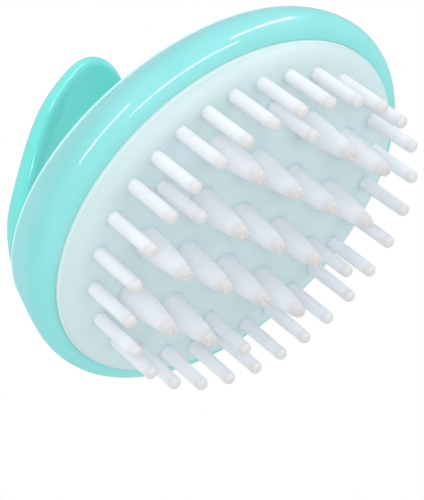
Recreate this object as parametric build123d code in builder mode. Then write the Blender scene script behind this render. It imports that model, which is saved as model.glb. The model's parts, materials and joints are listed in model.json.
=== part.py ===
from build123d import *
import math
import os

# Battery scalp massager brush: an oval bull-nosed housing, a white pad with thin pins and
# fat cones pointing down, and a spoon-shaped handle that rises from the heel of the back
# cover and curls forward over it. A small vibration motor shakes the carrier plate.
#
# Millimetres. +Z is up, the brush stands on its cone tips at Z = 0, and +X runs from the
# heel, where the handle is rooted, to the nose. The origin is below the middle of the body.

os.makedirs("parts", exist_ok=True)
standing = (Align.CENTER, Align.CENTER, Align.MIN)

# ---------------------------------------------------------------- driving dimensions

# Bristles
cone_length = 17.0
pin_length = 16.0
cone_root_radius = 3.6
cone_tip_radius = 1.1
pin_root_radius = 1.75
pin_tip_radius = 1.6
flange_thickness = 1.2
cone_flange_radius = 4.2
pin_flange_radius = 2.4
field_x = -0.6            # the bristle field and pad sit slightly towards the heel
pitch_x = 8.2             # half the spacing of two cones in one row
pitch_y = 11.65           # spacing of the rows of cones
ring_count = 28
ring_a, ring_b = 42.4, 34.1

# Pad, carrier plate and the housing's lower lip
pad_a, pad_b = 50.2, 40.4
pad_thickness = 5.6
pad_edge_radius = 3.3
carrier_thickness = 2.4
bore_gap = 0.15
ledge_width = 3.05
lip_above_face = 3.7      # the pad face stands this far proud of the lip

# Housing
widest_a, widest_b = 55.1, 46.3
widest_above_face = 9.1
crest_a, crest_b = 53.5, 37.3
crest_above_face = 22.8
crest_x = 1.55            # the crest leans towards the nose
crest_lip = 1.1
wall = 2.5

# Back cover
cover_gap = 0.15
cover_thickness = 2.4
dome_rise = 5.0
door_layer = 1.1
seal_layer = 0.5
skirt_width = 1.4
skirt_depth = 3.8

# Handle
handle_half_thickness = 2.0
handle_root_extra = 0.9          # the root is thicker than the rest by this much each side
handle_half_widths = [(0.0, 12.6), (0.33, 10.8), (0.66, 16.6), (1.0, 16.4)]
handle_root_radius, handle_tip_radius = 32.0, 46.0
handle_end_length = 17.1

# Batteries, motor and button
battery_radius, battery_length = 5.25, 44.5
bay_x = 22.7
bay_pitch = 11.2
motor_z = 31.8
can_radius = 6.0
shaft_radius = 1.0
running_gap = 0.05
button_x = 46.9
button_radius = 4.3
door_screw_x = 38.0

# ---------------------------------------------------------------- levels and places

face_z = cone_length
flange_z = face_z + pad_thickness - flange_thickness
carrier_z = face_z + pad_thickness
carrier_top = carrier_z + carrier_thickness
lip_z = face_z + lip_above_face
widest_z = face_z + widest_above_face
crest_z = face_z + crest_above_face
bore_a, bore_b = pad_a + bore_gap, pad_b + bore_gap
cover_a = crest_a - crest_lip - cover_gap
cover_b = crest_b - crest_lip - cover_gap
cover_edge_z = crest_z - 0.2
cover_seat_z = cover_edge_z - cover_thickness
apex_z = cover_edge_z + dome_rise

cone_sites = [(i * pitch_x, 0.0) for i in (-4, -2, 0, 2, 4)]
cone_sites += [(i * pitch_x, j * pitch_y) for j in (-1, 1) for i in (-3, -1, 1, 3)]
cone_sites += [(0.0, -2 * pitch_y), (0.0, 2 * pitch_y)]
pin_sites = [(i * 2 * pitch_x, j * 2 * pitch_y) for i in (-1, 1) for j in (-1, 1)]
for step in range(ring_count):
    angle = math.radians(360 / ring_count * step)
    reach = ring_a * ring_b / math.hypot(ring_b * math.cos(angle), ring_a * math.sin(angle))
    pin_sites.append((reach * math.cos(angle), reach * math.sin(angle)))

housing_screw_sites = [(-37.0, 18.0), (-37.0, -18.0), (-1.0, 28.5), (-1.0, -28.5),
                       (38.6, 15.0), (38.6, -15.0)]
handle_screw_sites = [(-43.6, 5.5), (-43.6, -5.5)]
board_screw_sites = [(43.2, 7.0), (43.2, -7.0)]
tray_screw_sites = [(bay_x, 14.0), (bay_x, -14.0)]
clamp_screw_sites = [(-26.0, 10.2), (-26.0, -10.2)]


# ---------------------------------------------------------------- helpers

def ellipse_at(centre_x, half_length, half_width, height):
    """A filled ellipse on a level plane."""
    with BuildSketch(Plane((centre_x, 0, height))) as outline:
        Ellipse(half_length, half_width)
    return outline.sketch


def oval_ring_at(centre_x, half_length, half_width, ring_width, height):
    """An oval ring on a level plane, its width measured inwards."""
    with BuildSketch(Plane((centre_x, 0, height))) as outline:
        Ellipse(half_length, half_width)
        Ellipse(half_length - ring_width, half_width - ring_width, mode=Mode.SUBTRACT)
    return outline.sketch


def rounded_rectangle_at(centre_x, length, width, radius, height):
    """A filled rounded rectangle on a level plane, its length along X."""
    with BuildSketch(Plane((centre_x, 0, height))) as outline:
        RectangleRounded(length, width, radius)
    return outline.sketch


def dome_height(x, y):
    """Height of the back cover's outer face above the point (x, y)."""
    ratio = ((x - crest_x) / cover_a) ** 2 + (y / cover_b) ** 2
    return cover_edge_z + dome_rise * (1 - ratio)


def dome_layer(top_offset, bottom_offset):
    """A layer of the cover's dome between two depths below its outer face."""
    with BuildPart() as layer:
        with BuildSketch(Plane.YZ):
            with BuildLine():
                Polyline((0, apex_z - bottom_offset), (0, apex_z - top_offset))
                dome_arc(top_offset)
                Polyline((cover_a, cover_edge_z - top_offset), (cover_a, cover_edge_z - bottom_offset))
                dome_arc(bottom_offset)
            make_face()
        revolve(axis=Axis.Z)
        scale(by=(1, cover_b / cover_a, 1))
    return Pos(crest_x, 0, 0) * layer.part


def dome_arc(offset_down):
    """The dome's profile arc, lowered by an offset."""
    middle = (cover_a * math.sqrt(0.5), cover_edge_z + dome_rise / 2 - offset_down)
    return ThreePointArc((0, apex_z - offset_down), middle, (cover_a, cover_edge_z - offset_down))


def screw(head_radius, head_height, shank_radius, shank_length):
    """A pan-head screw pointing up, its head's lower face at Z = 0."""
    with BuildPart() as fastener:
        Cylinder(head_radius, head_height, align=standing)
        fillet(fastener.edges().group_by(Axis.Z)[0], head_height * 0.35)
        with BuildSketch():
            Rectangle(head_radius * 1.2, head_radius * 0.28)
            Rectangle(head_radius * 0.28, head_radius * 1.2)
        extrude(amount=head_height * 0.5, mode=Mode.SUBTRACT)
        with Locations((0, 0, head_height)):
            Cylinder(shank_radius, shank_length, align=standing)
        chamfer(fastener.edges().group_by(Axis.Z)[-1], shank_radius * 0.5)
    return fastener.part


def lead(points, radius):
    """A round wire through the points, with arcs as large as its runs allow."""
    vectors = [Vector(*point) for point in points]
    radii = []
    for before, corner, after in zip(vectors, vectors[1:], vectors[2:]):
        arriving = corner - before
        leaving = after - corner
        turn = math.radians(arriving.get_angle(leaving))
        shorter = min(arriving.length, leaving.length)
        radii.append(0.45 * shorter / math.tan(turn / 2))
    with BuildPart() as wire:
        with BuildLine() as route:
            FilletPolyline(*points, radius=radii)
        start = Plane(origin=route.wire() @ 0, z_dir=route.wire() % 0)
        with BuildSketch(start):
            Circle(radius)
        sweep(path=route.wire())
    return wire.part


# ---------------------------------------------------------------- bristles

with BuildPart() as one_cone:
    with BuildSketch(Plane.XZ):
        with BuildLine():
            Polyline((0, carrier_z), (0, 0), (cone_tip_radius, 0), (cone_tip_radius + 0.25, 0.45))
            ThreePointArc((cone_tip_radius + 0.25, 0.45), (cone_root_radius * 0.79, face_z / 2),
                          (cone_root_radius, face_z))
            Polyline((cone_root_radius, face_z), (cone_root_radius, flange_z),
                     (cone_flange_radius, flange_z), (cone_flange_radius, carrier_z), (0, carrier_z))
        make_face()
    revolve(axis=Axis.Z)

with BuildPart() as massage_cones:
    with Locations(*[(field_x + x, y, 0) for x, y in cone_sites]):
        add(one_cone.part)

tip_z = cone_length - pin_length
with BuildPart() as one_pin:
    with BuildSketch(Plane.XZ):
        with BuildLine():
            Polyline((0, carrier_z), (0, tip_z))
            RadiusArc((0, tip_z), (pin_tip_radius, tip_z + pin_tip_radius), -pin_tip_radius)
            Polyline((pin_tip_radius, tip_z + pin_tip_radius), (pin_root_radius, face_z),
                     (pin_root_radius, flange_z), (pin_flange_radius, flange_z),
                     (pin_flange_radius, carrier_z), (0, carrier_z))
        make_face()
    revolve(axis=Axis.Z)

with BuildPart() as thin_pins:
    with Locations(*[(field_x + x, y, 0) for x, y in pin_sites]):
        add(one_pin.part)

# ---------------------------------------------------------------- pad, carrier and its seal

recess_a = ring_a + pin_flange_radius + 0.8
recess_b = ring_b + pin_flange_radius + 0.8
with BuildPart() as bristle_pad:
    extrude(ellipse_at(field_x, pad_a, pad_b, face_z), amount=pad_thickness)
    fillet(bristle_pad.edges().group_by(Axis.Z)[0], pad_edge_radius)
    extrude(ellipse_at(field_x, recess_a, recess_b, flange_z), amount=flange_thickness, mode=Mode.SUBTRACT)
    with Locations(*[(field_x + x, y, face_z) for x, y in cone_sites]):
        Cylinder(cone_root_radius + running_gap, pad_thickness,
                 align=standing, mode=Mode.SUBTRACT)
    with Locations(*[(field_x + x, y, face_z) for x, y in pin_sites]):
        Cylinder(pin_root_radius + running_gap, pad_thickness,
                 align=standing, mode=Mode.SUBTRACT)

seal_groove = 1.1
groove_z = carrier_z + 0.7
groove_height = 1.0
housing_screw_head_radius, housing_screw_head_height = 2.4, 1.4
housing_screw_radius = 1.1
with BuildPart() as carrier_plate:
    extrude(ellipse_at(field_x, pad_a, pad_b, carrier_z), amount=carrier_thickness)
    extrude(ellipse_at(field_x, pad_a + 1, pad_b + 1, groove_z), amount=groove_height, mode=Mode.SUBTRACT)
    extrude(ellipse_at(field_x, pad_a - seal_groove, pad_b - seal_groove, groove_z), amount=groove_height)
    with Locations(*[(x, y, carrier_z) for x, y in housing_screw_sites]):
        Cylinder(housing_screw_radius + 0.3, carrier_thickness,
                 align=standing, mode=Mode.SUBTRACT)
        Cylinder(housing_screw_head_radius + 0.2, housing_screw_head_height,
                 align=standing, mode=Mode.SUBTRACT)
    with Locations(*[(x, y, carrier_z + 0.4) for x, y in tray_screw_sites + clamp_screw_sites]):
        Cylinder(0.8, carrier_thickness, align=standing, mode=Mode.SUBTRACT)

with BuildPart() as pad_seal:
    seal_ring_width = seal_groove + bore_gap - 0.1
    extrude(oval_ring_at(field_x, bore_a - 0.05, bore_b - 0.05, seal_ring_width, groove_z + 0.02),
            amount=groove_height - 0.04)

# ---------------------------------------------------------------- housing


def nose_section(angle_degrees):
    """Outer ellipse of the bull nose, from the lip (0 degrees) to the widest line (90)."""
    angle = math.radians(angle_degrees)
    out = math.sin(angle)
    height = widest_z - (widest_z - lip_z) * math.cos(angle)
    half_length = bore_a + (widest_a - bore_a) * out
    half_width = bore_b + (widest_b - bore_b) * out
    return ellipse_at(field_x * (1 - out), half_length, half_width, height)


def wall_section(fraction):
    """Outer ellipse of the side wall, from the widest line (0) to the crest (1)."""
    lean = fraction ** 1.3
    half_length = widest_a + (crest_a - widest_a) * lean
    half_width = widest_b + (crest_b - widest_b) * lean
    height = widest_z + (crest_z - widest_z) * fraction
    return ellipse_at(crest_x * lean, half_length, half_width, height)


nose_steps, wall_steps = 8, 8
ledge_top = carrier_top + 1.5
cavity_wide_z = widest_z + 3.4
seat_z = cover_seat_z - seal_layer
cavity_a, cavity_b = cover_a - 1.25, cover_b - 0.85
with BuildPart() as housing:
    nose_rings = [nose_section(90 * step / nose_steps) for step in range(nose_steps)]
    wall_rings = [wall_section(step / wall_steps) for step in range(wall_steps + 1)]
    loft(nose_rings + wall_rings, ruled=True)
    extrude(ellipse_at(field_x, bore_a, bore_b, lip_z - 1),
            amount=carrier_top - lip_z + 1, mode=Mode.SUBTRACT)
    extrude(ellipse_at(field_x, bore_a - ledge_width, bore_b - ledge_width, lip_z),
            amount=ledge_top - lip_z, mode=Mode.SUBTRACT)
    loft([ellipse_at(field_x, bore_a - ledge_width + 1, bore_b - ledge_width + 1, ledge_top - 0.01),
          ellipse_at(0, widest_a - wall - 0.6, widest_b - wall - 1.5, cavity_wide_z),
          ellipse_at(crest_x, cavity_a, cavity_b, seat_z + 0.01)], ruled=True, mode=Mode.SUBTRACT)
    extrude(ellipse_at(crest_x, crest_a - crest_lip, crest_b - crest_lip, seat_z),
            amount=crest_z - seat_z + 1, mode=Mode.SUBTRACT)

with BuildPart() as cover_seal:
    extrude(ellipse_at(crest_x, cover_a - 0.05, cover_b - 0.05, seat_z), amount=seal_layer)
    extrude(ellipse_at(crest_x, cavity_a + 0.1, cavity_b + 0.1, seat_z),
            amount=seal_layer, mode=Mode.SUBTRACT)

# ---------------------------------------------------------------- battery door outline


door_tab_radius = 3.0


def door_outline(inset, height):
    """Door outline: a rounded rectangle with a round tab for the screw, drawn in by inset."""
    with BuildSketch(Plane.XY.offset(height)) as outline:
        with Locations((bay_x, 0)):
            RectangleRounded(24.6 - 2 * inset, 47.0 - 2 * inset, 3.0 - inset)
        with Locations((door_screw_x, 0)):
            Circle(door_tab_radius - inset)
        with Locations((door_screw_x - 3, 0)):
            Rectangle(6, 2 * (door_tab_radius - inset))
    return outline.sketch


door_base_z = cover_seat_z - 4
door_gap = 0.15
door_plug_depth = 2.1
door_plug_wall = 1.4
opening_length, opening_width = 22.2, 44.8
seal_bottom = door_layer + seal_layer
dome_skin = dome_layer(0, cover_thickness)
dome_door = dome_layer(0, door_layer)
dome_door_seat = dome_layer(-1.0, seal_bottom)
dome_seal = dome_layer(door_layer, seal_bottom)

# ---------------------------------------------------------------- back cover

boss_radius = 3.1
handle_screw_seat = cover_seat_z + 0.7
boss_base_z = carrier_top
bezel_radius = 5.4
post_radius = 1.7
board_z, board_thickness = 31.0, 1.2
with BuildPart() as door_pocket:
    add(dome_door_seat)
    extrude(door_outline(0, door_base_z), amount=dome_rise + 8, mode=Mode.INTERSECT)

with BuildPart() as back_cover:
    add(dome_skin)
    extrude(oval_ring_at(crest_x, cavity_a - 0.2, cavity_b - 0.2, skirt_width, cover_edge_z - skirt_depth),
            amount=skirt_depth - 1)
    for x, y in housing_screw_sites:
        with Locations((x, y, boss_base_z)):
            Cylinder(boss_radius, dome_height(x, y) - 1.1 - boss_base_z,
                     align=standing)
            Cylinder(housing_screw_radius, 10.5,
                     align=standing, mode=Mode.SUBTRACT)
    for x, y in board_screw_sites:
        with Locations((x, y, board_z + board_thickness)):
            Cylinder(post_radius, dome_height(x, y) - 1.1 - board_z - board_thickness,
                     align=standing)
            Cylinder(0.7, 4.5, align=standing, mode=Mode.SUBTRACT)
    with Locations((door_screw_x, 0, 34.5)):
        Cylinder(2.4, dome_height(door_screw_x, 0) - 1.8 - 34.5, align=standing)
    with Locations(*[(x, y, handle_screw_seat) for x, y in handle_screw_sites]):
        Cylinder(2.7, 1.6, align=standing)
    add(door_pocket.part, mode=Mode.SUBTRACT)
    extrude(rounded_rectangle_at(bay_x, opening_length, opening_width, 2.0, door_base_z), amount=12,
            mode=Mode.SUBTRACT)
    with Locations((door_screw_x, 0, 35.3)):
        Cylinder(0.9, 10, align=standing, mode=Mode.SUBTRACT)
    with Locations((button_x + 3.5, 0, cover_edge_z - skirt_depth)):
        Box(8, 14, skirt_depth - cover_thickness + 0.3, align=standing, mode=Mode.SUBTRACT)
    with Locations((button_x, 0, 34)):
        Cylinder(bezel_radius + running_gap, 12, align=standing, mode=Mode.SUBTRACT)
    with Locations(*[(x, y, 34) for x, y in handle_screw_sites]):
        Cylinder(1.5, 10, align=standing, mode=Mode.SUBTRACT)

# ---------------------------------------------------------------- handle


def eased(low, high, share):
    """A smooth change from one value to another as the share goes from 0 to 1."""
    return low + (high - low) * share * share * (3 - 2 * share)


def handle_half_width(fraction):
    """Half width of the handle at a fraction of its path: a foot, a waist and a broad blade."""
    for (start, low), (end, high) in zip(handle_half_widths, handle_half_widths[1:]):
        if fraction <= end:
            return eased(low, high, (fraction - start) / (end - start))
    return high


def handle_section(path, fraction):
    """Crescent section of the handle, hollow towards the body, square to its path."""
    half_width = handle_half_width(fraction)
    half_thickness = handle_half_thickness + handle_root_extra * (1 - fraction) ** 2
    bend = handle_root_radius + (handle_tip_radius - handle_root_radius) * fraction
    plane = Plane(origin=path @ fraction, x_dir=(0, 1, 0), z_dir=path % fraction)
    edge_y = -half_width ** 2 / (2 * bend)
    lean = half_width / bend
    thin = half_thickness * 0.85
    outer = (half_width + thin * math.sin(lean) * 0.3, edge_y + thin * math.cos(lean))
    inner = (half_width - thin * math.sin(lean), edge_y - thin * math.cos(lean))
    tip = (half_width + thin * math.cos(lean), edge_y - thin * math.sin(lean))
    with BuildSketch(plane) as section:
        with BuildLine():
            ThreePointArc((-outer[0], outer[1]), (0, half_thickness), outer)
            ThreePointArc(outer, tip, inner)
            ThreePointArc(inner, (0, -half_thickness), (-inner[0], inner[1]))
            ThreePointArc((-inner[0], inner[1]), (-tip[0], tip[1]), (-outer[0], outer[1]))
        make_face()
    return section.sketch


def handle_end_outline(side):
    """Half of the blunt oval end of the handle, seen from above, on one side."""
    round_x = handle_tip[0] + 0.3 - handle_end_length
    full = handle_half_widths[-1][1] + handle_half_thickness
    edge = []
    for along in (0, 0.2, 0.4, 0.6, 0.75, 0.87, 0.95, 0.99, 1):
        edge.append((round_x + handle_end_length * along, side * full * (1 - along ** 2.5) ** 0.435))
    return edge


handle_tip = (8.5, crest_z + 39.6)
with BuildLine(Plane.XZ) as handle_path:
    Bezier((-47.6, crest_z - 2.2), (-52.3, crest_z + 6.3), (-14.8, crest_z + 46.9), handle_tip)
handle_curve = handle_path.edges()[0]

handle_stations = (0, 0.1, 0.2, 0.33, 0.45, 0.56, 0.66, 0.8, 1)

with BuildPart() as handle:
    loft([handle_section(handle_curve, fraction) for fraction in handle_stations])
    with BuildSketch(Plane.XY.offset(crest_z - 10)) as handle_plan:
        with BuildLine():
            left, right = handle_end_outline(1), handle_end_outline(-1)
            Spline(*left)
            Spline(*right)
            Polyline(left[0], (-60, 30), (-60, -30), right[0])
        make_face()
    extrude(amount=80, mode=Mode.INTERSECT)
    with BuildSketch(Plane((-44.6, 0, crest_z - 4))):
        RectangleRounded(9.6, 18.0, 4.0)
    extrude(amount=8.2)
    add(dome_layer(0, 14), mode=Mode.SUBTRACT)
    extrude(oval_ring_at(crest_x, crest_a + 4, crest_b + 4, crest_lip + 4.1, crest_z - 4), amount=4.05,
            mode=Mode.SUBTRACT)
    with Locations(*[(x, y, crest_z - 4) for x, y in handle_screw_sites]):
        Cylinder(1.1, 7.6, align=standing, mode=Mode.SUBTRACT)

# ---------------------------------------------------------------- battery door

door_screw_seat = dome_height(door_screw_x, 0) - 0.35
with BuildPart() as door_plug:
    add(dome_layer(door_layer - 0.02, door_layer + door_plug_depth))
    extrude(rounded_rectangle_at(bay_x, opening_length - 1, opening_width - 1, 1.6, door_base_z), amount=14,
            mode=Mode.INTERSECT)
    extrude(rounded_rectangle_at(bay_x, opening_length - 1 - 2 * door_plug_wall,
                                 opening_width - 1 - 2 * door_plug_wall, 0.8, door_base_z), amount=14,
            mode=Mode.SUBTRACT)

with BuildPart() as battery_door:
    add(dome_door)
    extrude(door_outline(door_gap, door_base_z), amount=dome_rise + 8, mode=Mode.INTERSECT)
    add(door_plug.part)
    with Locations((door_screw_x, 0, 34)):
        Cylinder(1.15, 12, align=standing, mode=Mode.SUBTRACT)
    with Locations((door_screw_x, 0, door_screw_seat)):
        Cylinder(2.4, 3, align=standing, mode=Mode.SUBTRACT)

with BuildPart() as door_seal:
    add(dome_seal)
    extrude(door_outline(0.4, door_base_z), amount=dome_rise + 8, mode=Mode.INTERSECT)
    extrude(rounded_rectangle_at(bay_x, opening_length, opening_width, 2.0, door_base_z), amount=14,
            mode=Mode.SUBTRACT)
    with Locations((door_screw_x, 0, 34)):
        Cylinder(1.3, 12, align=standing, mode=Mode.SUBTRACT)

door_screw_head = 1.1
with BuildPart() as door_screw:
    with Locations(Location((door_screw_x, 0, door_screw_seat + door_screw_head), (180, 0, 0))):
        add(screw(2.1, door_screw_head, 0.9, 5.4))

# ---------------------------------------------------------------- battery tray and contacts

tray_width, tray_length = 25.2, 51.6
tray_wall = 1.2
tray_floor = 1.6
battery_z = carrier_top + tray_floor + battery_radius
contact_thickness = 0.4
with BuildPart() as battery_tray:
    extrude(rounded_rectangle_at(bay_x, tray_width, tray_length, 3.0, carrier_top), amount=11.6)
    extrude(rounded_rectangle_at(bay_x, tray_width - 2 * tray_wall, tray_length - 2 * 1.0, 1.0,
                                 carrier_top + tray_floor), amount=11.6, mode=Mode.SUBTRACT)
    with Locations(*[(x, y, carrier_top) for x, y in tray_screw_sites]):
        Cylinder(1.0, tray_floor, align=standing, mode=Mode.SUBTRACT)
    with Locations(*[(x, y, carrier_top + tray_floor - 1.0) for x, y in tray_screw_sites]):
        Cylinder(2.0, 1.0, align=standing, mode=Mode.SUBTRACT)

bay_end = tray_length / 2 - 1.0 - contact_thickness
nub_length = 0.8
battery_ends = [(bay_x - bay_pitch / 2, 1), (bay_x + bay_pitch / 2, -1)]
with BuildPart() as batteries:
    for x, direction in battery_ends:
        jacket_end = direction * (bay_end - nub_length)
        with BuildSketch(Plane((x, jacket_end, battery_z), z_dir=(0, -direction, 0))):
            Circle(battery_radius)
        extrude(amount=battery_length - nub_length)
        with BuildSketch(Plane((x, direction * bay_end, battery_z), z_dir=(0, -direction, 0))):
            Circle(1.9)
        extrude(amount=nub_length)

with BuildPart() as contact_plates:
    with Locations((bay_x, bay_end + contact_thickness / 2, battery_z)):
        Box(20, contact_thickness, 8)
    for x, direction in battery_ends:
        with Locations((x, -bay_end - contact_thickness / 2, battery_z)):
            Box(8.6, contact_thickness, 8)

spring_length = 2 * bay_end - battery_length
spring_wire_radius = 0.3
with BuildPart() as contact_springs:
    for x, direction in battery_ends:
        foot = -direction * (bay_end - spring_wire_radius - 0.02)
        with BuildLine() as coil:
            Helix(pitch=1.0, height=spring_length - 2 * spring_wire_radius - 0.1, radius=2.6,
                  center=(x, foot, battery_z), direction=(0, direction, 0))
        coil_edge = coil.edges()[0]
        with BuildSketch(Plane(origin=coil_edge @ 0, z_dir=coil_edge % 0)):
            Circle(spring_wire_radius)
        sweep(path=coil_edge, is_frenet=True)

# ---------------------------------------------------------------- vibration motor

can_start, can_end = -36.0, -16.0
cradle_half_width = 6.2
with BuildPart() as motor_cradle:
    with Locations((-26, 0, carrier_top)):
        Box(15, 2 * cradle_half_width, motor_z - carrier_top - 2.5, align=standing)
    with BuildSketch(Plane((-40, 0, motor_z), z_dir=(1, 0, 0))):
        Circle(can_radius + running_gap)
    extrude(amount=30, mode=Mode.SUBTRACT)

strap_inside = cradle_half_width + 0.05
strap_outside = strap_inside + 1.2
strap_width = 5.0
foot_reach = 12.4
axis_height = motor_z - carrier_top
with BuildPart() as motor_clamp:
    with BuildSketch(Plane((-26 - strap_width / 2, 0, motor_z), x_dir=(0, 1, 0), z_dir=(1, 0, 0))):
        Circle(strap_outside)
        with Locations((0, -axis_height / 2)):
            Rectangle(2 * strap_outside, axis_height)
        with Locations((0, 0.6 - axis_height)):
            Rectangle(2 * foot_reach, 1.2)
        Circle(can_radius + running_gap, mode=Mode.SUBTRACT)
        with Locations((0, -axis_height / 2)):
            Rectangle(2 * strap_inside, axis_height, mode=Mode.SUBTRACT)
        with Locations((0, -axis_height - 2)):
            Rectangle(2 * foot_reach, 4, mode=Mode.SUBTRACT)
    extrude(amount=strap_width)
    with Locations(*[(x, y, carrier_top) for x, y in clamp_screw_sites]):
        Cylinder(1.0, 1.2, align=standing, mode=Mode.SUBTRACT)

with BuildPart() as motor_can:
    with BuildSketch(Plane((can_start, 0, motor_z), z_dir=(1, 0, 0))):
        Circle(can_radius)
    extrude(amount=can_end - can_start)
    fillet(motor_can.edges().filter_by(GeomType.CIRCLE).group_by(Axis.X)[-1], 0.6)
    with BuildSketch(Plane((can_end, 0, motor_z), z_dir=(1, 0, 0))):
        Circle(2.2)
    extrude(amount=1.0)
    with BuildSketch(Plane((can_start + 2, 0, motor_z), z_dir=(1, 0, 0))):
        Circle(shaft_radius + running_gap)
    extrude(amount=can_end - can_start, mode=Mode.SUBTRACT)

with BuildPart() as motor_end_cap:
    with BuildSketch(Plane((can_start, 0, motor_z), z_dir=(-1, 0, 0))):
        Circle(can_radius - 0.4)
    extrude(amount=1.6)
    with Locations((can_start - 1.6, 3, motor_z), (can_start - 1.6, -3, motor_z)):
        Box(1.2, 1.6, 0.5, align=(Align.MAX, Align.CENTER, Align.CENTER))

shaft_start, shaft_end = can_start + 2.1, -7.0
with BuildPart() as motor_shaft:
    with BuildSketch(Plane((shaft_start, 0, motor_z), z_dir=(1, 0, 0))):
        Circle(shaft_radius)
    extrude(amount=shaft_end - shaft_start)

weight_radius = 5.6
weight_start, weight_length = -13.6, 6.0
with BuildPart() as eccentric_weight:
    with BuildSketch(Plane((weight_start, 0, motor_z), x_dir=(0, 1, 0), z_dir=(1, 0, 0))):
        Circle(weight_radius)
        with Locations((0, weight_radius)):
            Rectangle(3 * weight_radius, 2 * weight_radius, mode=Mode.SUBTRACT)
        Circle(2.2)
        Circle(shaft_radius, mode=Mode.SUBTRACT)
    extrude(amount=weight_length)

# ---------------------------------------------------------------- switch board and button

with BuildPart() as switch_board:
    with BuildSketch(Plane((45.9, 0, board_z))):
        RectangleRounded(9.8, 16.6, 1.0)
    extrude(amount=board_thickness)
    with Locations(*[(x, y, board_z) for x, y in board_screw_sites]):
        Cylinder(0.9, board_thickness, align=standing, mode=Mode.SUBTRACT)

switch_base_z = board_z + board_thickness
switch_height = 3.0
plunger_top = switch_base_z + switch_height + 1.2
with BuildPart() as tact_switch:
    with Locations((button_x, 0, switch_base_z)):
        Box(6, 6, switch_height, align=standing)
    with Locations((button_x, 0, switch_base_z + 0.4)):
        Cylinder(1.7 + running_gap, switch_height,
                 align=standing, mode=Mode.SUBTRACT)

with BuildPart() as switch_plunger:
    with Locations((button_x, 0, switch_base_z + 1.7)):
        Cylinder(1.7, plunger_top - switch_base_z - 1.7, align=standing)

bezel_top = dome_height(button_x, 0) + 1.0
with BuildPart() as button_bezel:
    with Locations((button_x, 0, bezel_top - 3.4)):
        Cylinder(bezel_radius, 3.4, align=standing)
        Cylinder(button_radius + 0.15, 3.4, align=standing, mode=Mode.SUBTRACT)
    fillet(button_bezel.edges().group_by(Axis.Z)[-1], 0.35)

button_top = bezel_top + 1.4
button_flange_z = bezel_top - 3.4 - 1.1
with BuildPart() as push_button:
    with Locations((button_x, 0, button_flange_z)):
        Cylinder(button_radius, button_top - button_flange_z, align=standing)
    fillet(push_button.edges().group_by(Axis.Z)[-1], 1.2)
    with Locations((button_x, 0, button_flange_z)):
        Cylinder(4.9, 0.9, align=standing)
    with Locations((button_x, 0, plunger_top)):
        Cylinder(1.5, button_flange_z - plunger_top, align=standing)

# ---------------------------------------------------------------- screws and wires


def screw_group(template, sites, height, flipped=False):
    """Copies of one screw at level sites, pointing up or, flipped, down."""
    turn = (180, 0, 0) if flipped else (0, 0, 0)
    copies = [Location((x, y, height), turn) * template for x, y in sites]
    return Compound(children=copies)


housing_screws = screw_group(
    screw(housing_screw_head_radius, housing_screw_head_height, housing_screw_radius, 10.4),
    housing_screw_sites, carrier_z)
handle_screws = screw_group(screw(2.1, 1.4, 1.1, 5.3), handle_screw_sites, handle_screw_seat - 1.4)
board_screws = screw_group(screw(1.5, 0.9, 0.7, 5.2), board_screw_sites, board_z - 0.9)
tray_screws = screw_group(screw(1.8, 0.9, 0.8, 2.4), tray_screw_sites, carrier_top + tray_floor - 0.1, True)
clamp_screws = screw_group(screw(1.6, 1.0, 0.8, 3.0), clamp_screw_sites, carrier_top + 2.2, True)

lead_radius = 0.6
motor_lead = lead([(can_start - 2.8, -3, motor_z), (-41.6, -3, motor_z), (-43.4, -6.5, 30.0),
                   (-38.5, -11.5, 28.2), (-28, -16.5, 27.4), (-14, -19.5, 27.0), (-1, -21.8, 27.2),
                   (8.5, -28.6, 27.8), (22, -30.6, 28.0), (33, -28.2, 28.0), (40.5, -21.5, 28.2),
                   (44.4, -11.5, 28.0), (45.4, -4.6, 27.8), (45.4, -2.4, 29.0), (45.4, -2.4, board_z)],
                  lead_radius)
battery_lead = lead([(28.7, -tray_length / 2, battery_z), (28.7, -28.6, battery_z), (31.8, -30.2, 31.0),
                     (37.5, -27.0, 30.0), (43.2, -20.2, 29.4), (47.0, -12.0, 28.6), (48.6, -6.2, 28.2),
                     (48.6, -4.2, 29.2), (48.6, -4.2, board_z)], lead_radius)

# ---------------------------------------------------------------- output

nodes = {
    "massage_cones": massage_cones.part,
    "thin_pins": thin_pins.part,
    "bristle_pad": bristle_pad.part,
    "carrier_plate": carrier_plate.part,
    "pad_seal": pad_seal.part,
    "housing": housing.part,
    "cover_seal": cover_seal.part,
    "back_cover": back_cover.part,
    "handle": handle.part,
    "battery_door": battery_door.part,
    "door_seal": door_seal.part,
    "door_screw": door_screw.part,
    "battery_tray": battery_tray.part,
    "batteries": batteries.part,
    "contact_plates": contact_plates.part,
    "contact_springs": contact_springs.part,
    "motor_cradle": motor_cradle.part,
    "motor_clamp": motor_clamp.part,
    "motor_can": motor_can.part,
    "motor_end_cap": motor_end_cap.part,
    "motor_shaft": motor_shaft.part,
    "eccentric_weight": eccentric_weight.part,
    "switch_board": switch_board.part,
    "tact_switch": tact_switch.part,
    "switch_plunger": switch_plunger.part,
    "button_bezel": button_bezel.part,
    "push_button": push_button.part,
    "housing_screws": housing_screws,
    "handle_screws": handle_screws,
    "board_screws": board_screws,
    "tray_screws": tray_screws,
    "clamp_screws": clamp_screws,
    "motor_lead": motor_lead,
    "battery_lead": battery_lead,
}
for name, shape in nodes.items():
    shape.label = name
    export_step(shape, f"parts/{name}.step")
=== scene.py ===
import json
import math
import random

import bmesh
import bpy
from mathutils import Matrix, Vector


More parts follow.
